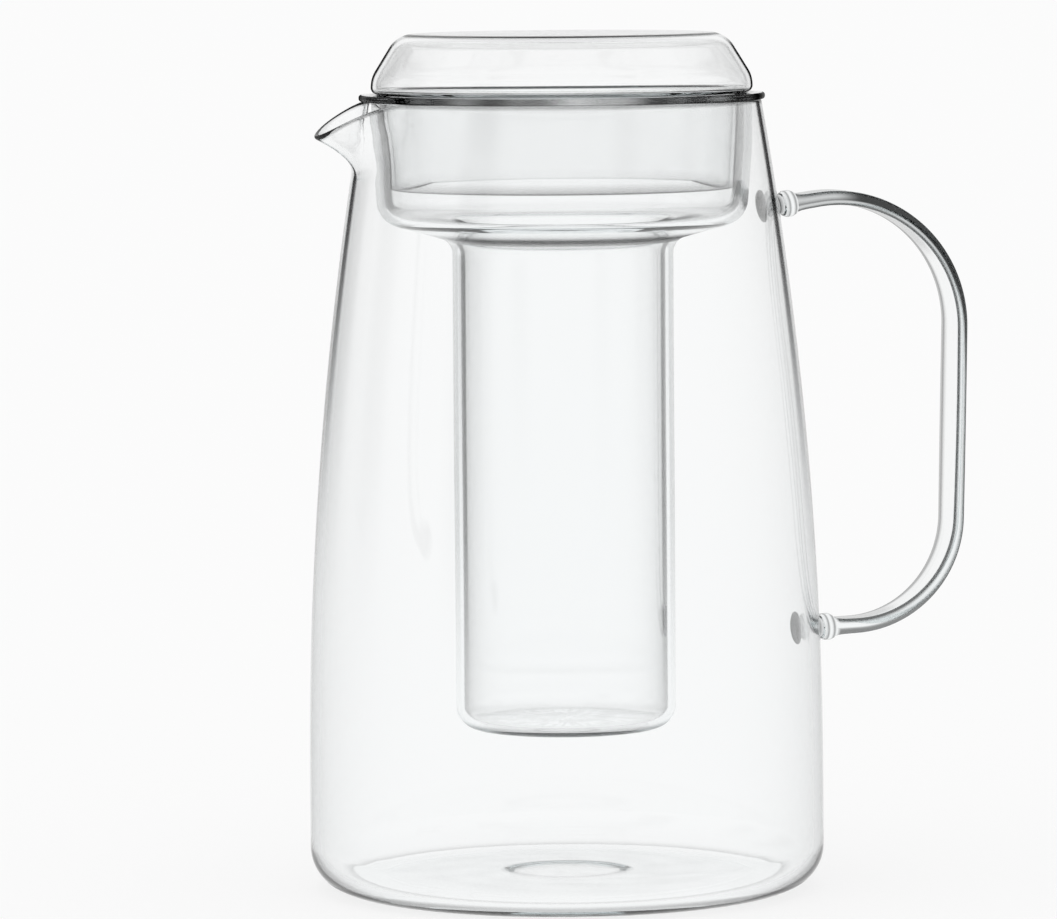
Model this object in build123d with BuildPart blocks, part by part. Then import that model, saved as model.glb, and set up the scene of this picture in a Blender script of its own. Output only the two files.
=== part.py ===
from build123d import *
import math
import os

# Clear glass pitcher: a jug with a pulled spout and a strap handle, an ice core that hangs in its mouth,
# and a hollow lid. Millimetres, +Z up. The origin is on the jug's axis, in the plane that it stands on.
# The spout points to -X and the handle to +X.

# Jug
jug_height = 206.6  # table to rim
body_radius = 67.5  # outside, where the side is widest
belly_height = 28.0  # the side is upright below this, and one long arc above it
rim_radius = 52.0  # outside, at the rim
jug_wall = 2.6  # at the belly
rim_wall = 1.2  # the blown wall thins evenly up to the rim
rim_round = 0.3  # fire-polished edges of the rim
heel_radius = 11.0  # outside corner between side and foot
floor_thickness = 3.0
foot_width = 7.0  # flat ring that the jug stands on
push_up = 1.4  # rise of the underside inside that ring
punt_radius = 15.5  # round hollow in the middle of the underside
punt_depth = 0.7
punt_slope = 1.5  # width of the hollow's sloping edge

# Spout, pulled out of the rim
spout_reach = 17.9  # how far it would stand out from the wall at its highest
spout_half_angle = 24.0  # share of the rim that it takes up, each side
spout_root = 20.8  # it leaves the wall this far below the rim
spout_full = 4.8  # it stands out in full this far below the rim
spout_drop = 8.8  # the lip's tip is this far below the rim, where the spout's curve turns upright
spout_floor = 1.0  # glass under the spout's channel, measured upright
spout_tip_angle = 2.5  # half the angle over which the lip's tip is rounded
lip_setback = 4.2  # the lip starts to fall this far inside the rim's edge
lip_curve = 1.5  # power of the lip's fall
spout_join = 3.0  # height of plain round wall between the spout's root and the lower body
spout_points = 4  # points that shape it at each level, each side of the tip
point_spacing = 1.5  # power that draws those points together towards the tip
spout_layers = 6  # even steps in height between the levels that shape it
lip_points = 5  # points that shape the lip's fall
lip_overrun = 1.25  # the fall is drawn on past the tip, in shares of the lip

# Handle: posts welded on the wall, and a drawn strap between them
upper_post_drop = 29.0  # upper post below the rim
lower_post_height = 65.7  # lower post above the table
foot_pad_width, foot_pad_height, foot_pad_length = 10.4, 8.6, 0.9
neck_width, neck_height, neck_length = 7.0, 4.6, 2.4
bead_width, bead_height, bead_length = 10.6, 7.0, 3.3
bead_round = 0.8
pad_bite = 0.8  # depth of glass that the pad is trimmed from, inside the wall
grip_reach = 41.2  # middle of the strap out from the widest part of the side, level with the upper post
grip_lean = 1.2  # degrees, inwards to the foot
upper_bend, lower_bend = 34.2, 28.6  # radii of the strap's middle line
strap_end_width, strap_end_thickness = 10.0, 4.2
strap_grip_width, strap_grip_thickness = 16.0, 2.6
strap_sections = 15

# Ice core: flanged cup and closed tube
core_clearance = 1.15  # cup to the rim's inner edge
flange_overhang = 1.0  # flange past the rim
flange_thickness = 1.7
flange_round = 0.6
core_wall = 2.1
cup_depth = 31.6  # rim to the corner of the cup's floor
cup_upright = 12.0  # the cup's wall is upright this far below the rim
cup_draft = 1.5  # below that it narrows by this much to the corner
cup_bend = 40.0  # radius of the bend between the two
cup_corner = 7.0  # outside corner radius
floor_fall = 5.4  # slope of the cup's floor down to the tube
tube_radius = 28.9
flare_radius = 4.5  # outside, between floor and tube
weld_depth = 11.0  # weld between cup and tube, below the floor's corner
tube_bottom = 42.0  # above the table
tube_corner = 6.0

# Lid
lid_height = 15.7  # above the flange
lid_inset = 3.2  # side of the lid in from the flange's edge
lid_taper = 7.1  # the top is this much narrower than the side
lid_upright = 4.2  # upright band above the flange
lid_shoulder = 7.3  # radius between top and side
lid_hip = 8.0  # radius between side and upright band
lid_foot_round = 1.9  # radius where the upright band turns in to the ledge
lid_wall = 1.3
skirt_clearance = 1.2  # skirt to the cup, at the top
skirt_depth = 24.8
skirt_draft = 1.4
skirt_root_round = 0.5
skirt_edge_round = 0.5

os.makedirs("parts", exist_ok=True)

# Side of the jug: one arc outside and one inside, each upright at the belly and through the rim
side_rise = jug_height - belly_height
side_lean = body_radius - rim_radius
side_arc = (side_rise**2 + side_lean**2) / (2 * side_lean)
inner_wall = body_radius - jug_wall
inner_lean = inner_wall - rim_radius + rim_wall
inner_arc = (side_rise**2 + inner_lean**2) / (2 * inner_lean)


def outer_radius(z):
    return body_radius - side_arc + math.sqrt(side_arc**2 - (z - belly_height) ** 2)


def inner_radius(z):
    return inner_wall - inner_arc + math.sqrt(inner_arc**2 - (z - belly_height) ** 2)


def wall_slope(z):
    # angle in degrees that the wall's outward normal rises above the level
    return math.degrees(math.asin((z - belly_height) / side_arc))


def save(builder, label):
    builder.part.label = label
    export_step(builder.part, f"parts/{label}.step")


# Spout: at each height the wall's circle bulges out within the spout's angle
spout_base = jug_height - spout_root - spout_join


def spout_share(angle):
    # 1 in the middle of the spout and 0 at its sides, with a rounded tip
    rounded = math.hypot(angle, spout_tip_angle) - spout_tip_angle
    widest = math.hypot(spout_half_angle, spout_tip_angle) - spout_tip_angle
    return (1 - rounded / widest) ** 2


def spout_growth(z):
    # 0 below the spout's root, hollowed out up to the tip's height, and 1 where it stands out in full
    span = spout_root - spout_full
    turn = spout_root - spout_drop
    rise = min(max(z - jug_height + spout_root, 0), span)
    if rise < turn:
        return rise**2 / (span * turn)
    return 1 - (span - rise) ** 2 / (span * (span - turn))


def spout_ring(wall_radius, growth):
    # closed outline at one height: an arc round the back and a curve round the spout
    def place(angle):
        radius = wall_radius + spout_reach * growth * spout_share(angle)
        turn = math.radians(180 + angle)
        return (radius * math.cos(turn), radius * math.sin(turn))

    def tangent(angle):
        turn = math.radians(180 + angle)
        return (-math.sin(turn), math.cos(turn))

    half = [spout_half_angle * (i / spout_points) ** point_spacing for i in range(spout_points + 1)]
    angles = [-a for a in reversed(half[1:])] + half
    with BuildLine() as outline:
        CenterArc((0, 0), wall_radius, spout_half_angle - 180, 360 - 2 * spout_half_angle)
        if growth > 0:
            Spline(*[place(a) for a in angles], tangents=(tangent(angles[0]), tangent(angles[-1])))
        else:
            CenterArc((0, 0), wall_radius, 180 - spout_half_angle, 2 * spout_half_angle)
    return outline


layer = (jug_height - spout_base) / spout_layers
spout_levels = [spout_base + layer * i for i in range(spout_layers + 1)]
foot_radius = body_radius - heel_radius
lip_start = rim_radius - lip_setback
lip_tip = outer_radius(jug_height - spout_drop) + spout_reach * spout_growth(jug_height - spout_drop)

with BuildPart() as jug_body:
    # Floor, heel and side up to the spout's base
    with BuildSketch(Plane.XZ):
        with BuildLine():
            punt_top = push_up + punt_depth
            under = Polyline(
                (0, punt_top),
                (punt_radius - punt_slope, punt_top),
                (punt_radius, push_up),
                (foot_radius - foot_width, 0),
                (foot_radius, 0),
            )
            heel = TangentArc(under @ 1, (body_radius, heel_radius), tangent=(1, 0))
            upright = Line(heel @ 1, (body_radius, belly_height))
            side = TangentArc(upright @ 1, (outer_radius(spout_base), spout_base), tangent=(0, 1))
            edge = Line(side @ 1, (inner_radius(spout_base), spout_base))
            inner_side = TangentArc((inner_wall, belly_height), edge @ 1, tangent=(0, 1))
            inner_upright = Line((inner_wall, heel_radius), inner_side @ 0)
            inner_heel = TangentArc(inner_upright @ 0, (foot_radius, floor_thickness), tangent=(0, -1))
            Polyline(
                inner_heel @ 1,
                (foot_radius - foot_width, floor_thickness),
                (punt_radius, floor_thickness + push_up),
                (0, floor_thickness + push_up),
                under @ 0,
            )
        make_face()
    revolve(axis=Axis.Z)
    # Upper wall with the spout, outside then inside
    for z in spout_levels:
        with BuildSketch(Plane.XY.offset(z)):
            add(spout_ring(outer_radius(z), spout_growth(z)).line)
            make_face()
    loft()
    for z in spout_levels:
        with BuildSketch(Plane.XY.offset(z)):
            add(spout_ring(inner_radius(z), spout_growth(z - spout_floor)).line)
            make_face()
    loft(mode=Mode.SUBTRACT)
    # Lip, falling away from the rim towards its tip
    with BuildSketch(Plane.XZ.offset(-rim_radius)):
        with BuildLine():
            shares = [lip_overrun * i / lip_points for i in range(lip_points + 1)]
            lip_line = Spline(
                *[
                    (-lip_start - (lip_tip - lip_start) * s, jug_height - spout_drop * s**lip_curve)
                    for s in shares
                ],
                tangents=((-1, 0), (-1, -1)),
            )
            Polyline(
                lip_line @ 1,
                ((lip_line @ 1).X, jug_height + spout_drop),
                (-lip_start, jug_height + spout_drop),
                lip_line @ 0,
            )
        make_face()
    extrude(amount=2 * rim_radius, mode=Mode.SUBTRACT)
    # Fire-polished edges along the rim and the lip
    lip_edges = jug_body.edges().filter_by(GeomType.BSPLINE)
    lip_edges = lip_edges.filter_by(lambda edge: (edge @ 0.5).Z > jug_height - spout_drop)
    fillet(lip_edges, min(rim_round, rim_wall / 3))
save(jug_body, "jug_body")


# Handle posts, square to the wall at their heights
def post_plane(height):
    slope = math.radians(wall_slope(height))
    normal = (math.cos(slope), 0, math.sin(slope))
    return Plane(origin=(outer_radius(height), 0, height), x_dir=(0, 1, 0), z_dir=normal)


upper_post_height = jug_height - upper_post_drop
post_length = foot_pad_length + neck_length + bead_length


def handle_post(height):
    wall_plane = post_plane(height)
    with BuildPart() as post:
        with BuildSketch(wall_plane.offset(-pad_bite)):
            Ellipse(foot_pad_width / 2, foot_pad_height / 2)
        extrude(amount=pad_bite + foot_pad_length)
        with BuildSketch(wall_plane.offset(foot_pad_length)):
            Ellipse(neck_width / 2, neck_height / 2)
        extrude(amount=neck_length)
        with BuildSketch(wall_plane.offset(foot_pad_length + neck_length)):
            Ellipse(bead_width / 2, bead_height / 2)
        extrude(amount=bead_length)
        bead_ends = post.edges().group_by(SortBy.LENGTH)[-1]
        fillet(bead_ends, bead_round)
        add(jug_body.part, mode=Mode.SUBTRACT)
    return post


save(handle_post(upper_post_height), "upper_handle_post")
save(handle_post(lower_post_height), "lower_handle_post")

# Handle strap: level runs square to the wall, bent to a leaning grip, flattest in the middle of the grip
upper_plane, lower_plane = post_plane(upper_post_height), post_plane(lower_post_height)
strap_start = upper_plane.offset(post_length).origin
strap_end = lower_plane.offset(post_length).origin


def grip_corner(start, direction):
    # where a run from a post meets the grip's leaning line
    lean = math.tan(math.radians(grip_lean))
    grip_x = body_radius + grip_reach - lean * (upper_post_height - start.Z)
    run = (grip_x - start.X) / (direction.X - lean * direction.Z)
    return start + direction * run


with BuildLine() as strap_line:
    FilletPolyline(
        strap_start,
        grip_corner(strap_start, upper_plane.z_dir),
        grip_corner(strap_end, lower_plane.z_dir),
        strap_end,
        radius=(upper_bend, lower_bend),
    )
strap_path = strap_line.wires()[0]

with BuildPart() as handle_strap:
    for i in range(strap_sections):
        share = i / (strap_sections - 1)
        flat = math.sin(math.pi * share)
        width = strap_end_width + (strap_grip_width - strap_end_width) * flat
        thickness = strap_end_thickness + (strap_grip_thickness - strap_end_thickness) * flat
        spot = share * strap_path.length
        place = strap_path.position_at(spot, PositionMode.LENGTH)
        heading = strap_path.tangent_at(spot, PositionMode.LENGTH)
        with BuildSketch(Plane(origin=place, x_dir=(0, 1, 0), z_dir=heading)):
            SlotOverall(width, thickness)
    loft()
save(handle_strap, "handle_strap")

# Ice core's cup: its wall follows one outline from the mouth to the weld, and the flange lies on the rim
cup_radius = inner_radius(jug_height) - core_clearance
flange_radius = rim_radius + flange_overhang
flange_top = jug_height + flange_thickness
cup_floor = jug_height - cup_depth
weld_height = cup_floor - weld_depth

with BuildPart() as core_cup:
    with BuildSketch(Plane.XZ):
        with BuildLine():
            FilletPolyline(
                (cup_radius, flange_top),
                (cup_radius, jug_height - cup_upright),
                (cup_radius - cup_draft, cup_floor),
                (tube_radius, cup_floor - floor_fall),
                (tube_radius, weld_height),
                radius=(cup_bend, cup_corner, flare_radius),
            )
            offset(amount=core_wall, side=Side.RIGHT, closed=True)
        make_face()
        with BuildLine():
            inner_edge = cup_radius - core_wall / 2
            FilletPolyline(
                (inner_edge, jug_height),
                (flange_radius, jug_height),
                (flange_radius, flange_top),
                (inner_edge, flange_top),
                radius=(0, flange_round, flange_round, 0),
                close=True,
            )
        make_face()
    revolve(axis=Axis.Z)
save(core_cup, "core_cup")

# Ice core's tube, closed at the bottom
with BuildPart() as core_tube:
    with BuildSketch(Plane.XZ):
        with BuildLine():
            FilletPolyline(
                (tube_radius, weld_height),
                (tube_radius, tube_bottom),
                (0, tube_bottom),
                radius=(tube_corner,),
            )
            offset(amount=core_wall, side=Side.RIGHT, closed=True)
        make_face()
    revolve(axis=Axis.Z)
save(core_tube, "core_tube")

# Lid: one even wall from the top's middle to the skirt's edge, with a ledge that rests on the flange
lid_side_radius = flange_radius - lid_inset
lid_top_radius = lid_side_radius - lid_taper
lid_top = flange_top + lid_height
skirt_radius = cup_radius - core_wall - skirt_clearance
skirt_bottom = flange_top - skirt_depth

with BuildPart() as lid:
    with BuildSketch(Plane.XZ) as lid_section:
        with BuildLine():
            FilletPolyline(
                (0, lid_top),
                (lid_top_radius, lid_top),
                (lid_side_radius, flange_top + lid_upright),
                (lid_side_radius, flange_top),
                (skirt_radius, flange_top),
                (skirt_radius - skirt_draft, skirt_bottom),
                radius=(lid_shoulder, lid_hip, lid_foot_round, skirt_root_round),
            )
            offset(amount=lid_wall, side=Side.RIGHT, closed=True)
        make_face()
        fillet(lid_section.vertices().sort_by(Axis.Y)[:2], skirt_edge_round)
    revolve(axis=Axis.Z)
save(lid, "lid")
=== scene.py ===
import math

import bmesh
import bpy
from mathutils import Matrix, Vector


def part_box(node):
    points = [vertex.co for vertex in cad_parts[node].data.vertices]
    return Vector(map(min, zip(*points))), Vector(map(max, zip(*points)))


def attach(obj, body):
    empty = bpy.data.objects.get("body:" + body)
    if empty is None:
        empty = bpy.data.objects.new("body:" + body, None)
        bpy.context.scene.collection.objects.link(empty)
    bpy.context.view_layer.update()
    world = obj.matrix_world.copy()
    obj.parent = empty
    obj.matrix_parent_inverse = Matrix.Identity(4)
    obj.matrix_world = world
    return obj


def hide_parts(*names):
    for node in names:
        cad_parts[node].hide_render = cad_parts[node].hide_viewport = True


# A clear glass pitcher on a white floor. Shapes are worked out in millimetres in the frame's own axes,
# +Z up, spout to -X, handle to +X and near side to -Y, and become metres when a mesh is made.
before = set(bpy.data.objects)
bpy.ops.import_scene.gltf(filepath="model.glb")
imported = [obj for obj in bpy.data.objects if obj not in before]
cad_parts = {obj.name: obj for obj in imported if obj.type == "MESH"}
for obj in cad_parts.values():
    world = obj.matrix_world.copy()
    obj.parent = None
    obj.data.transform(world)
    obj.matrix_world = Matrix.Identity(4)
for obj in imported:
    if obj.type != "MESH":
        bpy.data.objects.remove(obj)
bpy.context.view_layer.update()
MM = 0.001


def corner(node, which):
    """Lowest (0) or highest (1) corner of a node, in millimetres."""
    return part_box(node)[which] / MM


# Sizes that the frame gives
jug_height = corner("jug_body", 1).z
body_radius = -corner("jug_body", 0).x
flange_radius = corner("core_cup", 1).x
flange_top = corner("core_cup", 1).z
tube_radius = corner("core_tube", 1).x
tube_bottom = corner("core_tube", 0).z
lid_side_radius = corner("lid", 1).x
lid_top = corner("lid", 1).z
skirt_bottom = corner("lid", 0).z
strap_grip_width = corner("handle_strap", 1).y * 2

# Sizes of the jug that its box doesn't show
belly_height = 28.0
rim_radius = 52.0
jug_wall = 2.6
rim_wall = 1.2
heel_radius = 11.0
inner_heel_radius = 8.4
floor_thickness = 3.0
foot_width = 7.0
push_up = 1.4
punt_radius = 15.5
punt_depth = 0.7
punt_slope = 1.5
punt_round = 1.2
foot_round = 6.0

# Spout
spout_reach = 17.9
spout_half_angle = 24.0
spout_root = 20.8
spout_full = 4.8
spout_drop = 8.8
spout_floor = 1.0
spout_tip_angle = 2.5
spout_join = 3.0
lip_setback = 4.2
lip_curve = 1.5

# Handle: middle line, post lengths and strap sections
upper_post_height = jug_height - 29.0
lower_post_height = 65.7
post_length = 6.6
grip_reach = 41.2
grip_lean = math.radians(1.2)
upper_bend, lower_bend = 34.2, 28.6
strap_end_width, strap_end_thickness = 10.0, 4.2
strap_grip_thickness = 2.6
weld_gap = 0.02
weld_blend = 1.2
foot_flat = 0.2

# Ice core
core_clearance = 1.15
core_wall = 2.1
cup_depth = 31.6
cup_upright = 12.0
cup_draft = 1.5
cup_bend = 40.0
cup_corner = 7.0
floor_fall = 5.4
flare_radius = 4.5
tube_corner = 6.0
flange_round = 0.7
mouth_round = 0.5

# Lid
lid_taper = 7.1
lid_upright = 4.2
lid_shoulder = 7.3
lid_hip = 8.0
lid_foot_round = 1.85
lid_wall = 1.3
skirt_clearance = 1.2
skirt_draft = 1.4
skirt_root_round = 0.5
skirt_edge_round = 0.55

# Thin film of air between loose pieces, so that no two faces lie in one place
seat_gap = 0.03

# Heights nearer than this count as one
same_height = 0.01

# Fineness of the meshes
arc_step = math.radians(6)
bend_step = math.radians(0.5)
longest_step = 2.5
turn_step = 1.5
spout_turn_step = 0.4


def rounded(corners, step=arc_step):
    """Points along a line through (x, y, radius) corners, each rounded to its radius."""
    path = []
    for i, (x, y, radius) in enumerate(corners):
        here = Vector((x, y))
        if radius == 0 or i in (0, len(corners) - 1):
            path.append(here)
            continue
        before = (Vector(corners[i - 1][:2]) - here).normalized()
        after = (Vector(corners[i + 1][:2]) - here).normalized()
        half = before.angle(after) / 2
        middle = here + (before + after).normalized() * (radius / math.sin(half))
        first = here + before * (radius / math.tan(half)) - middle
        last = here + after * (radius / math.tan(half)) - middle
        turn = math.atan2(first.x * last.y - first.y * last.x, first.dot(last))
        count = max(3, math.ceil(abs(turn) / step))
        for k in range(count + 1):
            path.append(middle + Matrix.Rotation(turn * k / count, 2) @ first)
    return path


def divided(path):
    """The same line with no step longer than the longest that the mesh may have."""
    line = [path[0]]
    for a, b in zip(path, path[1:]):
        count = max(1, math.ceil((b - a).length / longest_step))
        line += [a.lerp(b, k / count) for k in range(1, count + 1)]
    return line


def offset(corners, wall):
    """The same corners moved to the right of the line's direction by a wall, with their radii to match."""
    moved = []
    for i, (x, y, radius) in enumerate(corners):
        here = Vector((x, y))
        ways = []
        if i > 0:
            ways.append((here - Vector(corners[i - 1][:2])).normalized())
        if i < len(corners) - 1:
            ways.append((Vector(corners[i + 1][:2]) - here).normalized())
        sides = [Vector((way.y, -way.x)) for way in ways]
        middle = (sides[0] + sides[-1]).normalized()
        moved_to = here + middle * (wall / middle.dot(sides[0]))
        right_turn = ways[0].cross(ways[-1]) < 0
        new_radius = radius - wall if right_turn else radius + wall
        moved.append((moved_to.x, moved_to.y, max(new_radius, 0.05) if radius else 0))
    return moved


def wave(angle, height, start):
    """Slight unevenness of blown glass, about one either way."""
    return (
        0.5 * math.sin(2 * angle + height / 31 + start)
        + 0.3 * math.sin(3 * angle - height / 19 + 2.1 * start)
        + 0.2 * math.sin(5 * angle + height / 13 + 3.7 * start)
    )


def bell(spread):
    """1 at 0, and soon 0 on either side."""
    return math.exp(-(spread**2))


def ramp(value):
    """0 below 0, 1 above 1 and eased between."""
    share = min(1, max(0, value))
    return share * share * (3 - 2 * share)


def make_piece(name, points, shades, faces, body, slot, nodes, material):
    """A closed mesh in metres, with a painted shade at each point, that rides on a body and stands for its
    nodes.
    """
    mesh = bpy.data.meshes.new(name)
    mesh.from_pydata([Vector(p) * MM for p in points], [], faces)
    mesh.attributes.new("shade", "FLOAT", "POINT").data.foreach_set("value", shades)
    shell = bmesh.new()
    shell.from_mesh(mesh)
    bmesh.ops.recalc_face_normals(shell, faces=shell.faces)
    shell.to_mesh(mesh)
    shell.free()
    mesh.shade_smooth()
    mesh.materials.append(material)
    piece = bpy.data.objects.new(name, mesh)
    bpy.context.scene.collection.objects.link(piece)
    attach(piece, body)
    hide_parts(*nodes)


def turned(rows, place, shade, turns):
    """Points, painted shades and faces of a closed form whose first and last rows lie on the axis."""
    points = [place(rows[0], 0)]
    shades = [shade(rows[0], 0)]
    for row in rows[1:-1]:
        points += [place(row, turn) for turn in turns]
        shades += [shade(row, turn) for turn in turns]
    points.append(place(rows[-1], 0))
    shades.append(shade(rows[-1], 0))
    count = len(turns)
    last = len(points) - 1
    faces = []
    for k in range(count):
        after = (k + 1) % count
        faces.append((0, 1 + k, 1 + after))
        for row in range(len(rows) - 3):
            a = 1 + row * count
            b = a + count
            faces.append((a + k, b + k, b + after, a + after))
        end = last - count
        faces.append((end + k, last, end + after))
    return points, shades, faces


def even_turns():
    """Turns round a form, evenly spaced, in radians."""
    count = round(360 / turn_step)
    return [math.radians(turn_step * k) for k in range(count)]


# Jug

side_rise = jug_height - belly_height
side_lean = body_radius - rim_radius
side_arc = (side_rise**2 + side_lean**2) / (2 * side_lean)
inner_belly = body_radius - jug_wall
inner_lean = inner_belly - rim_radius + rim_wall
inner_arc = (side_rise**2 + inner_lean**2) / (2 * inner_lean)
spout_base = jug_height - spout_root - spout_join
foot_radius = body_radius - heel_radius


def outer_radius(z):
    return body_radius - side_arc + math.sqrt(side_arc**2 - (z - belly_height) ** 2)


def inner_radius(z):
    return inner_belly - inner_arc + math.sqrt(inner_arc**2 - (z - belly_height) ** 2)


def wall_slope(z):
    return math.asin((z - belly_height) / side_arc)


def spout_share(turn):
    """1 in the middle of the spout and 0 beyond its sides. The turn is in radians from +X."""
    angle = abs(math.degrees(turn) - 180)
    if angle >= spout_half_angle:
        return 0
    widest = math.hypot(spout_half_angle, spout_tip_angle) - spout_tip_angle
    return (1 - (math.hypot(angle, spout_tip_angle) - spout_tip_angle) / widest) ** 2


def spout_growth(z):
    """0 below the spout's root, hollowed out up to the tip's height, and 1 where it stands out in full."""
    span = spout_root - spout_full
    turn = spout_root - spout_drop
    rise = min(max(z - jug_height + spout_root, 0), span)
    if rise < turn:
        return rise**2 / (span * turn)
    return 1 - (span - rise) ** 2 / (span * (span - turn))


def wall_radius(z, side, turn):
    """Radius of the wall, from its outside (side 0) to its inside (side 1)."""
    plain = outer_radius(z) * (1 - side) + inner_radius(z) * side
    return plain + spout_reach * spout_growth(z - spout_floor * side) * spout_share(turn)


rim_tries = 40
lip_start = rim_radius - lip_setback
lip_tip = wall_radius(jug_height - spout_drop, 0, math.pi)


def rim_height(side, turn):
    """Height at which the wall meets the lip's falling line, found step by step."""
    z = jug_height
    for _ in range(rim_tries):
        forward = -math.cos(turn) * wall_radius(z, side, turn)
        share = max(0, (forward - lip_start) / (lip_tip - lip_start))
        z = (z + jug_height - spout_drop * share**lip_curve) / 2
    return z


def jug_rows():
    """Rows from under the floor, up the outside, over the rim and down the inside."""
    under = rounded([
        (0, push_up + punt_depth, 0),
        (punt_radius - punt_slope, push_up + punt_depth, punt_round),
        (punt_radius, push_up, punt_round),
        (foot_radius - foot_width, 0, foot_round),
        (body_radius, 0, heel_radius),
        (body_radius, belly_height, 0),
    ])
    inside = rounded([
        (inner_belly, belly_height, 0),
        (inner_belly, floor_thickness, inner_heel_radius),
        (foot_radius - foot_width, floor_thickness, foot_round),
        (punt_radius, floor_thickness + push_up, punt_round),
        (0, floor_thickness + push_up, 0),
    ])
    steps = math.ceil((spout_base - belly_height) / longest_step)
    heights = [belly_height + (spout_base - belly_height) * k / steps for k in range(1, steps)]
    spout_steps = 32
    rises = [k / spout_steps for k in range(spout_steps)]
    rim_steps = 14
    rims = [math.pi * k / rim_steps for k in range(rim_steps + 1)]
    rows = [("plain", p.x, p.y) for p in divided(under)]
    rows += [("plain", outer_radius(z), z) for z in heights]
    rows += [("wall", 0, rise) for rise in rises]
    rows += [("rim", (1 - math.cos(a)) / 2, rim_wall / 2 * (1 - math.sin(a))) for a in rims]
    rows += [("wall", 1, rise) for rise in reversed(rises)]
    rows += [("plain", inner_radius(z), z) for z in reversed(heights)]
    rows += [("plain", p.x, p.y) for p in divided(inside)]
    return rows


rim_heights = {}
jug_wave = 0.02
outer_wave_start, inner_wave_start = 0.4, 1.7
wave_fade_low, wave_fade_high = 20.0, 25.0

# Painted shade on the jug's rim, heel and floor, from 0 to 1, with places and widths in millimetres
rim_dark, lip_change, tip_dark = 0.45, 0.2, 0.3
heel_dark, heel_line, heel_line_width = 0.45, 2.5, 0.7
streak_dark, streak_fade = 0.05, 15.0
ring_dark, ring_change, ring_turn, ring_width = 0.1, 0.15, 0.3, 1.2


def jug_place(row, turn):
    """Place of a row's point at a turn, with the slight unevenness of the wall."""
    kind, first, second = row
    if kind == "plain":
        radius, z = first, second
        inside = z > floor_thickness and radius < (outer_radius(max(z, belly_height)) - jug_wall / 2)
    else:
        key = (first, turn)
        if key not in rim_heights:
            rim_heights[key] = rim_height(first, turn) - seat_gap - rim_wall / 2
        top = rim_heights[key]
        if kind == "wall":
            z = spout_base + (top - spout_base) * second
        else:
            z = top + rim_wall / 2 - second
        radius = wall_radius(z, first, turn)
        inside = first > 0.5
    fade = min(1, max(0, z - heel_radius) / wave_fade_low) * min(1, (jug_height - z) / wave_fade_high)
    uneven = wave(turn, z, inner_wave_start if inside else outer_wave_start) - 1
    radius += jug_wave * fade * uneven if radius > foot_radius - foot_width else 0
    return (radius * math.cos(turn), radius * math.sin(turn), z)


def jug_painted_shade(row, turn):
    """Painted shade on the rim, the more on the spout's near lip and at its tip, and the less on its far lip.

    A line round the heel, the punt's edge and faint streaks on the floor get painted shade too.
    """
    kind, radius, z = row
    if kind == "rim":
        share = spout_share(turn)
        lip = lip_change * (1 - share) if turn > math.pi else -lip_change
        return rim_dark - lip_change * share + lip * ramp(4 * share) + tip_dark * share**8
    if kind == "wall":
        return 0.0
    if z < heel_radius and radius > foot_radius:
        return heel_dark * bell((z - heel_line) / heel_line_width)
    if z > floor_thickness - same_height and radius < foot_radius:
        streak = 0.5 + 0.5 * math.sin(3 * turn + radius / 5) * math.sin(7 * turn - radius / 3)
        fade = min(1, (foot_radius - radius) / streak_fade)
        ring = ring_dark + ring_change * (1 + math.sin(turn + ring_turn))
        return streak_dark * (1 + streak) * fade + ring * bell((radius - punt_radius) / ring_width)
    return 0.0


def spout_turns():
    """Turns round the jug, close together across the spout."""
    close = spout_half_angle + 2
    degrees = []
    angle = 0.0
    while angle < 360 - 1e-6:
        degrees.append(angle)
        angle += spout_turn_step if abs(angle + spout_turn_step / 2 - 180) < close else turn_step
    return [math.radians(a) for a in degrees]


# Handle

def handle_line():
    """Middle line of the handle in the XZ plane, from wall to wall."""
    strap_middle = body_radius + grip_reach
    ends = []
    for height in (upper_post_height, lower_post_height):
        slope = wall_slope(height)
        way = Vector((math.cos(slope), math.sin(slope)))
        ends.append((Vector((outer_radius(height), height)), way))
    lean = math.tan(grip_lean)

    def grip_corner(start, way):
        grip_x = strap_middle - lean * (upper_post_height - start.y)
        return start + way * ((grip_x - start.x) / (way.x - lean * way.y))

    (upper, upper_way), (lower, lower_way) = ends
    return rounded([
        (*upper, 0),
        (*grip_corner(upper, upper_way), upper_bend),
        (*grip_corner(lower, lower_way), lower_bend),
        (*lower, 0),
    ], bend_step)


# Half width, half height and flat share of a post's sections, by distance out from the wall
post_sections = [
    (0.0, 5.2, 4.3, 0.05),
    (0.25, 5.2, 4.3, 0.05),
    (0.75, 4.6, 3.6, 0.05),
    (1.15, 3.7, 2.6, 0.05),
    (2.1, 3.5, 2.3, 0.05),
    (3.0, 3.7, 2.5, 0.05),
    (3.45, 4.7, 3.1, 0.05),
    (4.2, 5.25, 3.45, 0.1),
    (5.5, 5.3, 3.5, 0.1),
    (6.3, 5.0, 3.1, 0.2),
    (6.75, 4.85, 2.35, 0.4),
]


def smooth_between(table, spot):
    """Values of a table at a spot, eased between its rows."""
    for before, after in zip(table, table[1:]):
        if spot <= after[0]:
            share = ramp((spot - before[0]) / (after[0] - before[0]))
            return [a + (b - a) * share for a, b in zip(before[1:], after[1:])]
    return list(table[-1][1:])


def strap_section(share):
    """Half width, half thickness and flat share of the strap, by share of its length."""
    flat = math.sin(math.pi * share)
    width = strap_end_width + (strap_grip_width - strap_end_width) * flat
    thickness = strap_end_thickness + (strap_grip_thickness - strap_end_thickness) * flat
    return [width / 2, thickness / 2, 1 - thickness / width]


# Painted shade in rings round a post: how dark each is, how far from the wall and how wide
post_rings = [(0.65, 2.1, 0.9), (0.6, 4.2, 0.25), (0.6, 5.8, 0.4)]
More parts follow.
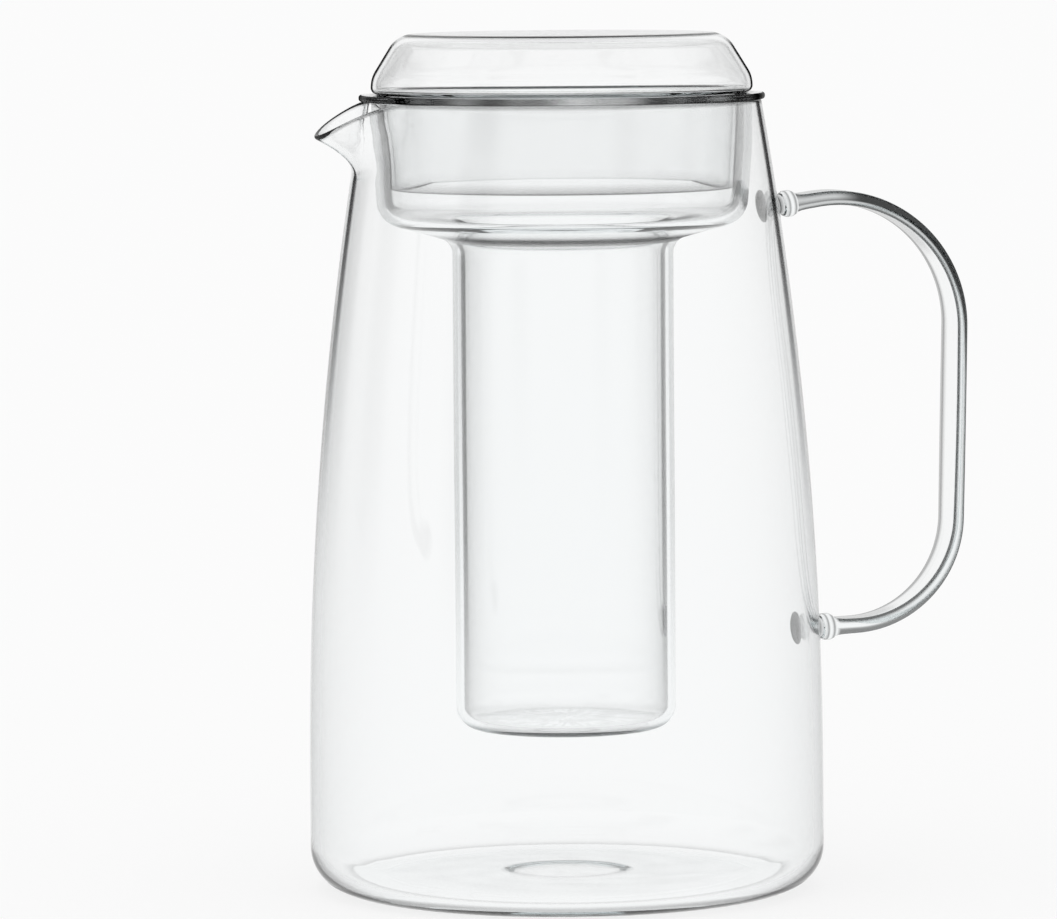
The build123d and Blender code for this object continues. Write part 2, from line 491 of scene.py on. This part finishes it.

# Painted shade along the strap. Across, a spot lies from -1 on the near edge to 1 on the far one. Out, it
# lies from -1 on the hand's side to 1. Along, it lies from 0 at the upper end to 1 at the lower one.
inner_face, outer_face = -0.99, 0.96
far_line_dark, far_line_across, far_line_width = 0.6, 0.65, 0.22
upper_end, upper_fade = 0.5, 0.2
lower_start, lower_fade = 0.75, 0.1
band_dark, band_upper_more, band_lower_less = 0.82, 0.11, 0.1
band_start, band_upper_reach, band_lower_reach, band_fade = 0.3, 0.85, 0.3, 0.3
hand_line_dark, hand_line_start, hand_line_fade = 0.8, -0.5, 0.25
patch_light, patch_end, patch_fade = 0.65, 24.0, 8.0
patch_out, patch_width = 0.25, 0.45


def handle_painted_shade(across, out, share, from_wall):
    """Painted shade in bands along the strap's rounded edges, widest in the upper half, with a light line
    between.

    The feet on the wall, rings round the posts and the far edge of the strap's inner face get painted shade
    too.
    The painted shade is lighter in a patch of the band next to the upper post.
    """
    if from_wall < foot_flat:
        return 1.0
    if from_wall < post_length:
        return sum(dark * bell((from_wall - place) / width) for dark, place, width in post_rings)
    if out < inner_face:
        return far_line_dark * bell((across - far_line_across) / far_line_width)
    if out > outer_face:
        return 0.0
    upper = ramp((upper_end - share) / upper_fade)
    lower = ramp((share - lower_start) / lower_fade)
    reach = band_upper_reach * upper + band_lower_reach * lower - band_start
    patch = upper * ramp((patch_end - from_wall) / patch_fade) * bell((out - patch_out) / patch_width)
    dark = (band_dark + band_upper_more * upper - band_lower_less * lower) * (1 - patch_light * patch)
    line = hand_line_dark * ramp((hand_line_start - out) / hand_line_fade)
    return max(dark * ramp((out + reach) / band_fade), line)


# Fineness of the handle's mesh, and how the posts' sections pass into the strap's
post_step, strap_step = 0.15, 1.0
arc_count, flat_count = 14, 8
way_reach = 0.4
blend_lead, blend_length = 0.3, 3.0


def handle_ring():
    """Points round one section, as side of the strap and angle: a half round, a flat, and both once more."""
    ring = []
    for side in (1, -1):
        start = -side * math.pi / 2
        ring += [(side, start + math.pi * k / arc_count) for k in range(arc_count + 1)]
        ring += [(side - side * 2 * k / flat_count, start + math.pi) for k in range(1, flat_count)]
    return ring


def handle_points():
    """Points, painted shades and faces of the posts and the strap as one closed form along the middle line.
    """
    line = handle_line()
    lengths = [0.0]
    for a, b in zip(line, line[1:]):
        lengths.append(lengths[-1] + (b - a).length)
    total = lengths[-1]
    strap_length = total - 2 * post_length

    def at(spot):
        for k in range(1, len(line)):
            if spot <= lengths[k] or k == len(line) - 1:
                share = (spot - lengths[k - 1]) / (lengths[k] - lengths[k - 1])
                return line[k - 1].lerp(line[k], share)

    post_count = round(post_length / post_step)
    post_spots = [post_length * k / post_count for k in range(post_count + 1)]
    strap_count = round(strap_length / strap_step)
    strap_spots = [post_length + strap_length * k / strap_count for k in range(1, strap_count)]
    spots = post_spots + strap_spots + [total - s for s in reversed(post_spots)]
    ring = handle_ring()
    points, shades = [], []
    for spot in spots:
        way = (at(min(total, spot + way_reach)) - at(max(0, spot - way_reach))).normalized()
        normal = Vector((-way.y, way.x))
        place = at(spot)
        from_wall = min(spot, total - spot)
        strap = strap_section(min(max((spot - post_length) / strap_length, 0), 1))
        post = smooth_between(post_sections, from_wall)
        blend = ramp((from_wall - post_length + blend_lead) / blend_length)
        width, height, flat = [a + (b - a) * blend for a, b in zip(post, strap)]
        for side, angle in ring:
            across = width * (flat * side + (1 - flat) * math.cos(angle))
            out = height * math.sin(angle)
            x, z = place + normal * out
            on_wall = math.sqrt((outer_radius(z) + weld_gap) ** 2 - across**2)
            x += (on_wall - x + from_wall) * max(0, 1 - from_wall / weld_blend)
            points.append((x, across, z))
            shades.append(handle_painted_shade(across / width, math.sin(angle), spot / total, from_wall))
    count = len(ring)
    faces = []
    for row in range(len(spots) - 1):
        for k in range(count):
            after = (k + 1) % count
            a, b = row * count, (row + 1) * count
            faces.append((a + k, a + after, b + after, b + k))
    faces.append(tuple(range(count - 1, -1, -1)))
    end = (len(spots) - 1) * count
    faces.append(tuple(range(end, end + count)))
    return points, shades, faces


# Ice core

cup_radius = inner_radius(jug_height) - core_clearance
cup_floor = jug_height - cup_depth
core_wave = 0.02
core_wave_start = 2.6
core_wave_fade = 12.0

# Painted shade on the cup's floor, the tube's lower corner and the flange's edge, with places and widths in
# millimetres. A wave round the flange has a height, a count and a start.
cup_floor_dark, cup_floor_near, cup_floor_width = 0.3, 0.62, 4.0
corner_dark, corner_line, corner_width = 0.45, 1.2, 0.9
flange_dark, flange_light = 0.87, 0.4
flange_light_turn = math.radians(80)
flange_waves = [(0.07, 9, 0.7), (0.06, 23, 2.0)]


def core_rows():
    """Rows from under the tube, up the outside, round the flange and down the inside."""
    outside = [
        (0, tube_bottom, 0),
        (tube_radius, tube_bottom, tube_corner),
        (tube_radius, cup_floor - floor_fall, flare_radius),
        (cup_radius - cup_draft, cup_floor, cup_corner),
        (cup_radius, jug_height - cup_upright, cup_bend),
        (cup_radius, flange_top, 0),
    ]
    inside = offset(outside, -core_wall)
    mouth = [
        (cup_radius, jug_height, mouth_round),
        (flange_radius, jug_height, flange_round),
        (flange_radius, flange_top, flange_round),
        (inside[-1][0], flange_top, mouth_round),
    ]
    return divided(rounded(outside[:-1] + mouth + list(reversed(inside[:-1]))))


def core_place(row, turn):
    """Place of a row's point at a turn, with the slight unevenness of the tube."""
    uneven = wave(turn, row.y, core_wave_start) - 1
    depth = min(1, max(0, (cup_floor - row.y) / core_wave_fade)) * min(1, row.x / tube_radius)
    radius = row.x + core_wave * uneven * depth
    return (radius * math.cos(turn), radius * math.sin(turn), row.y)


def core_painted_shade(row, turn):
    """Painted shade on the flange's edge, in patches round it.

    The cup's floor where the tube begins, most of all on the near side, and the tube's lower corner get it
    too.
    """
    if abs(row.y - cup_floor) < floor_fall:
        near = ramp(-1.5 * math.sin(turn))
        dark = cup_floor_dark + cup_floor_near * near
        return dark * bell((row.x - tube_radius - flare_radius) / cup_floor_width)
    if row.y < tube_bottom + tube_corner and row.x > tube_radius - tube_corner:
        return corner_dark * bell((row.y - tube_bottom - corner_line) / corner_width)
    if row.y < jug_height - same_height or row.x < flange_radius - flange_round:
        return 0.0
    patches = sum(height * math.sin(count * turn + start) for height, count, start in flange_waves)
    light = flange_light * max(0, math.cos(2 * (turn - flange_light_turn))) ** 6
    return flange_dark + patches - light


# Lid

skirt_radius = cup_radius - core_wall - skirt_clearance
lid_seat = flange_top + seat_gap

# Painted shade on the lid's top edge, its skirt and the skirt's edge, with places and widths in millimetres
top_dark, top_line = 0.65, 0.3
skirt_dark = 0.04
skirt_edge_dark, skirt_edge_change, skirt_edge_width = 0.5, 0.35, 0.7


def lid_rows():
    """Rows from the top's middle, down the outside to the skirt's edge and up the inside."""
    outside = [
        (0, lid_top, 0),
        (lid_side_radius - lid_taper, lid_top, lid_shoulder),
        (lid_side_radius, flange_top + lid_upright, lid_hip),
        (lid_side_radius, lid_seat, lid_foot_round),
        (skirt_radius, lid_seat, skirt_root_round),
        (skirt_radius - skirt_draft, skirt_bottom, 0),
    ]
    inside = offset(outside, lid_wall)
    outer_end, inner_end = outside[-1][:2], (inside[-1][0], skirt_bottom)
    edge = [(*outer_end, skirt_edge_round), (*inner_end, skirt_edge_round)]
    return divided(rounded(outside[:-1] + edge + list(reversed(inside[:-1]))))


def lid_place(row, turn):
    return (row.x * math.cos(turn), row.x * math.sin(turn), row.y)


def lid_painted_shade(row, turn):
    """Painted shade on the top's edge, a little on the skirt, and on the skirt's lower edge, most on the near
    side.
    """
    top_edge = lid_side_radius - lid_taper - lid_shoulder / 2
    if row.x > top_edge and row.y > lid_top - lid_wall / 2:
        return top_dark * bell((lid_top - row.y - top_line) / top_line)
    if row.y > flange_top - lid_wall:
        return 0.0
    dark = skirt_edge_dark - skirt_edge_change * math.sin(turn)
    return max(skirt_dark, dark * bell((row.y - skirt_bottom) / skirt_edge_width))


# Materials

def math_node(tree, operation, first, second):
    """Output of one step of arithmetic on numbers or sockets."""
    node = tree.nodes.new("ShaderNodeMath")
    node.operation = operation
    node.use_clamp = True
    for socket, value in zip(node.inputs, (first, second)):
        if isinstance(value, (int, float)):
            socket.default_value = value
        else:
            tree.links.new(value, socket)
    return node.outputs["Value"]


def eased(tree, value, low, high, start, end):
    """Value eased from a start to an end as it goes from low to high."""
    node = tree.nodes.new("ShaderNodeMapRange")
    node.interpolation_type = "SMOOTHSTEP"
    for name, number in (("From Min", low), ("From Max", high), ("To Min", start), ("To Max", end)):
        node.inputs[name].default_value = number
    tree.links.new(value, node.inputs["Value"])
    return node.outputs["Result"]


glass_ior = 1.47
glass_colour = (0.25, 0.53, 0.58, 1)
glass_density = 7.0
# These shape the painted shade where the glass is seen at a slant.
edge_power = 3.0
line_fade = 0.05
level_range = (0.5, 0.9)
very_edge_share = 0.3
cup_heights = (0.170, 0.182)


def by_side(tree, is_inside, outside, inside):
    """One number on a piece's outer faces and another on its inner ones."""
    node = tree.nodes.new("ShaderNodeMapRange")
    node.inputs["To Min"].default_value = outside
    node.inputs["To Max"].default_value = inside
    tree.links.new(is_inside, node.inputs["Value"])
    return node.outputs["Result"]


def glass(
    name, soft, line, line_slant, flat_share, line_heights=(0.0, 0.01), rim_light=(1.0, 1.1), cup_share=1.0
):
    """Clear glass with painted shade on a black coat, standing in for dark surroundings seen through the
    glass.

    The coat darkens the walls where they are seen at a slant, and faces seen from outside by their points'
    shade.
    The soft painted shade and the painted line beside the edge each have an amount for outer and for inner
    faces.
    The line lies between two slants, comes in over two heights, in metres, and the very edge may be lighter.
    The soft painted shade may be less at the height of the core's cup, and both are less on level faces.
    """
    material = bpy.data.materials.new(name)
    material.use_nodes = True
    tree = material.node_tree
    nodes, links = tree.nodes, tree.links
    shader = nodes["Principled BSDF"]
    shader.inputs["Base Color"].default_value = (1, 1, 1, 1)
    shader.inputs["Transmission Weight"].default_value = 1.0
    shader.inputs["Roughness"].default_value = 0.0
    shader.inputs["IOR"].default_value = glass_ior
    # A black coat that reflects nothing of its own carries the painted shade.
    shader.inputs["Coat IOR"].default_value = 1.0
    shader.inputs["Coat Tint"].default_value = (0.0, 0.0, 0.0, 1)
    absorption = nodes.new("ShaderNodeVolumeAbsorption")
    absorption.inputs["Color"].default_value = glass_colour
    absorption.inputs["Density"].default_value = glass_density
    links.new(absorption.outputs["Volume"], nodes["Material Output"].inputs["Volume"])

    place = nodes.new("ShaderNodeTexCoord")
    spot = nodes.new("ShaderNodeSeparateXYZ")
    links.new(place.outputs["Object"], spot.inputs["Vector"])
    lie = nodes.new("ShaderNodeSeparateXYZ")
    links.new(place.outputs["Normal"], lie.inputs["Vector"])
    across = nodes.new("ShaderNodeMath")
    across.operation = "MULTIPLY"
    links.new(spot.outputs["X"], across.inputs[0])
    links.new(lie.outputs["X"], across.inputs[1])
    outward = nodes.new("ShaderNodeMath")
    outward.operation = "MULTIPLY_ADD"
    links.new(spot.outputs["Y"], outward.inputs[0])
    links.new(lie.outputs["Y"], outward.inputs[1])
    links.new(across.outputs["Value"], outward.inputs[2])
    is_inside = math_node(tree, "LESS_THAN", outward.outputs["Value"], 0.0)

    slant = nodes.new("ShaderNodeLayerWeight")
    slant.inputs["Blend"].default_value = 0.5
    facing = slant.outputs["Facing"]
    band = math_node(tree, "POWER", facing, edge_power)
    band = math_node(tree, "MULTIPLY", band, by_side(tree, is_inside, *soft))
    at_cup = eased(tree, spot.outputs["Z"], *cup_heights, 1.0, cup_share)
    band = math_node(tree, "MULTIPLY", band, at_cup)
    line_in, line_out = line_slant
    mark = eased(tree, facing, line_in, line_in + line_fade, 0.0, 1.0)
    mark_end = eased(tree, facing, line_out, line_out + line_fade, 1.0, 0.0)
    mark = math_node(tree, "MULTIPLY", mark, mark_end)
    mark = math_node(tree, "MULTIPLY", mark, eased(tree, spot.outputs["Z"], *line_heights, 0.0, 1.0))
    mark = math_node(tree, "MULTIPLY", mark, by_side(tree, is_inside, *line))
    flat = math_node(tree, "ABSOLUTE", lie.outputs["Z"], 0.0)
    edge = math_node(tree, "ADD", band, mark)
    edge = math_node(tree, "MULTIPLY", edge, eased(tree, flat, *level_range, 1.0, flat_share))
    edge = math_node(tree, "MULTIPLY", edge, eased(tree, facing, *rim_light, 1.0, very_edge_share))
    # Painted shade from the points, only on faces seen from outside; the larger painted shade weighs the
    # coat.
    shade = nodes.new("ShaderNodeAttribute")
    shade.attribute_name = "shade"
    skin = nodes.new("ShaderNodeNewGeometry")
    outer_skin = math_node(tree, "SUBTRACT", 1.0, skin.outputs["Backfacing"])
    painted_outer_shade = math_node(tree, "MULTIPLY", shade.outputs["Fac"], outer_skin)
    links.new(math_node(tree, "MAXIMUM", edge, painted_outer_shade), shader.inputs["Coat Weight"])
    return material


# Each piece's painted shade at a slant, with amounts for outer and inner faces.
jug_glass = glass(
    "jug_glass",
    soft=(0.42, 0.0),
    line=(0.72, 0.0),
    line_slant=(0.73, 0.82),
    flat_share=0.1,
    line_heights=(0.08, 0.19),
    rim_light=(0.86, 0.95),
)
handle_glass = glass(
    "handle_glass",
    soft=(0.1, 0.1),
    line=(0.2, 0.2),
    line_slant=(0.75, 1.0),
    flat_share=1.0,
)
core_glass = glass(
    "core_glass",
    soft=(0.0, 0.9),
    line=(0.22, 0.6),
    line_slant=(0.68, 1.0),
    flat_share=0.2,
    line_heights=(0.04, 0.11),
    cup_share=0.35,
)
lid_glass = glass(
    "lid_glass",
    soft=(0.2, 0.2),
    line=(0.85, 0.4),
    line_slant=(0.83, 1.0),
    flat_share=0.15,
)

jug_form = turned(jug_rows(), jug_place, jug_painted_shade, spout_turns())
core_form = turned(core_rows(), core_place, core_painted_shade, even_turns())
lid_form = turned(lid_rows(), lid_place, lid_painted_shade, even_turns())
handle_nodes = ("upper_handle_post", "handle_strap", "lower_handle_post")
make_piece("jug", *jug_form, "jug", "jug_glass", ("jug_body",), jug_glass)
make_piece("handle", *handle_points(), "jug", "handle_glass", handle_nodes, handle_glass)
make_piece("ice_core", *core_form, "core", "core_glass", ("core_cup", "core_tube"), core_glass)
make_piece("lid_shell", *lid_form, "lid", "lid_glass", ("lid",), lid_glass)

# Floor and surroundings: white all round, and a little darker above
white = 0.965
floor_size = 200.0
floor_drop = 0.0002
shadow_share = 0.15
floor_albedo = 0.9
ceiling_edge = (0.2, 0.9)
ceiling_level = 0.8


def floor_material():
    """White to the camera and to the glass, with a share of its own shading for the shadow."""
    material = bpy.data.materials.new("floor")
    material.use_nodes = True
    tree = material.node_tree
    nodes, links = tree.nodes, tree.links
    nodes.remove(nodes["Principled BSDF"])
    matte = nodes.new("ShaderNodeBsdfDiffuse")
    matte.inputs["Color"].default_value = (floor_albedo, floor_albedo, floor_albedo, 1)
    glow = nodes.new("ShaderNodeEmission")
    glow.inputs["Color"].default_value = (white, white, white, 1)
    ray = nodes.new("ShaderNodeLightPath")
    bounced = math_node(tree, "MAXIMUM", ray.outputs["Is Glossy Ray"], ray.outputs["Is Transmission Ray"])
    direct = math_node(tree, "MULTIPLY", ray.outputs["Is Camera Ray"], 1 - shadow_share)
    mix = nodes.new("ShaderNodeMixShader")
    links.new(math_node(tree, "MAXIMUM", bounced, direct), mix.inputs["Fac"])
    links.new(matte.outputs["BSDF"], mix.inputs[1])
    links.new(glow.outputs["Emission"], mix.inputs[2])
    links.new(mix.outputs["Shader"], nodes["Material Output"].inputs["Surface"])
    return material


half = floor_size / 2
floor_mesh = bpy.data.meshes.new("floor")
floor_corners = [(x, y, -floor_drop) for x, y in ((-half, -half), (half, -half), (half, half), (-half, half))]
floor_mesh.from_pydata(floor_corners, [], [(0, 1, 2, 3)])
floor_mesh.materials.append(floor_material())
floor = bpy.data.objects.new("floor", floor_mesh)
bpy.context.scene.collection.objects.link(floor)

# One wide soft light from above, as bright on the floor as the floor's own white
lamp_tilt, lamp_turn, lamp_spread = math.radians(25), math.radians(-40), math.radians(80)
lamp_strength = 0.8
lamp_data = bpy.data.lights.new("soft_light", "SUN")
lamp_data.angle = lamp_spread
lamp_data.energy = lamp_strength
lamp = bpy.data.objects.new("soft_light", lamp_data)
lamp.rotation_euler = (lamp_tilt, 0, lamp_turn)
bpy.context.scene.collection.objects.link(lamp)
lamp.visible_glossy = False
lamp.visible_transmission = False


# Grey cards beside the backdrop. Each goes from one turn to another, in degrees from +Y towards +X, and then
# comes how dark it is.
card_distance, card_height = 0.75, 0.6
card_turns = [(-132, -104, 0.5), (-76, -50, 0.4), (-42, -12, 0.4), (32, 66, 0.1)]
card_fade, card_foot = 10.0, 0.16


def grey_card(name, first, last, dark):
    """A bent card that stands on the floor and fades to white at its edges. Only the glass sees it."""
    columns, rows = 40, 16
    points, levels = [], []
    for i in range(columns + 1):
        turn = first + (last - first) * i / columns
        across = ramp((turn - first) / card_fade) * ramp((last - turn) / card_fade)
        for j in range(rows + 1):
            z = card_height * j / rows
            place = math.radians(turn)
            points.append((card_distance * math.sin(place), card_distance * math.cos(place), z))
            levels.append(white * (1 - dark * across * ramp(z / card_foot)))
    faces = [
        (a, a + rows + 1, a + rows + 2, a + 1)
        for i in range(columns)
        for a in range(i * (rows + 1), i * (rows + 1) + rows)
    ]
    mesh = bpy.data.meshes.new(name)
    mesh.from_pydata(points, [], faces)
    mesh.attributes.new("level", "FLOAT", "POINT").data.foreach_set("value", levels)
    mesh.materials.append(card_material)
    card = bpy.data.objects.new(name, mesh)
    bpy.context.scene.collection.objects.link(card)
    card.visible_camera = False
    card.visible_diffuse = False
    card.visible_shadow = False


card_material = bpy.data.materials.new("grey_card")
card_material.use_nodes = True
card_nodes = card_material.node_tree.nodes
card_nodes.remove(card_nodes["Principled BSDF"])
card_glow = card_nodes.new("ShaderNodeEmission")
card_level = card_nodes.new("ShaderNodeAttribute")
card_level.attribute_name = "level"
card_links = card_material.node_tree.links
card_links.new(card_level.outputs["Fac"], card_glow.inputs["Strength"])
card_links.new(card_glow.outputs["Emission"], card_nodes["Material Output"].inputs["Surface"])
for number, (first, last, dark) in enumerate(card_turns, 1):
    grey_card(f"grey_card_{number}", first, last, dark)


def studio_world():
    """Plain white to the camera, and white that darkens a little upwards to everything else."""
    world = bpy.data.worlds.new("studio")
    world.use_nodes = True
    tree = world.node_tree
    nodes, links = tree.nodes, tree.links
    surroundings = nodes["Background"]
    backdrop = nodes.new("ShaderNodeBackground")
    backdrop.inputs["Color"].default_value = (white, white, white, 1)
    direction = nodes.new("ShaderNodeTexCoord")
    split = nodes.new("ShaderNodeSeparateXYZ")
    links.new(direction.outputs["Generated"], split.inputs["Vector"])
    level = eased(tree, split.outputs["Z"], *ceiling_edge, white, ceiling_level)
    links.new(level, surroundings.inputs["Color"])
    ray = nodes.new("ShaderNodeLightPath")
    mix = nodes.new("ShaderNodeMixShader")
    links.new(ray.outputs["Is Camera Ray"], mix.inputs["Fac"])
    links.new(surroundings.outputs["Background"], mix.inputs[1])
    links.new(backdrop.outputs["Background"], mix.inputs[2])
    links.new(mix.outputs["Shader"], nodes["World Output"].inputs["Surface"])
    return world


scene = bpy.context.scene
scene.world = studio_world()
scene.view_settings.view_transform = "Standard"
scene.cycles.max_bounces = 32
scene.cycles.transmission_bounces = 32
scene.cycles.glossy_bounces = 16

# Camera, as far off and as high as the photograph's
image_width = 1057
focal_pixels = 6894.0
camera_distance = 1.80
camera_height = 0.262
camera_left = 0.0094
camera_azimuth = math.radians(-15.5)
camera_tilt = math.radians(4.748)
camera_roll = math.radians(0.45)

camera_data = bpy.data.cameras.new("camera")
camera_data.sensor_width = 36.0
camera_data.lens = camera_data.sensor_width * focal_pixels / image_width
camera_data.clip_end = 500.0
camera = bpy.data.objects.new("camera", camera_data)
scene.collection.objects.link(camera)
back = Vector((math.sin(camera_azimuth), -math.cos(camera_azimuth), 0))
right = Vector((math.cos(camera_azimuth), math.sin(camera_azimuth), 0))
up = Vector((0, 0, 1))
ahead = -back * math.cos(camera_tilt) - up * math.sin(camera_tilt)
above = up * math.cos(camera_tilt) - back * math.sin(camera_tilt)
image_right = right * math.cos(camera_roll) - above * math.sin(camera_roll)
image_up = right * math.sin(camera_roll) + above * math.cos(camera_roll)
eye = back * camera_distance - right * camera_left + up * camera_height
camera.matrix_world = Matrix.Translation(eye) @ Matrix((image_right, image_up, -ahead)).transposed().to_4x4()
scene.camera = camera
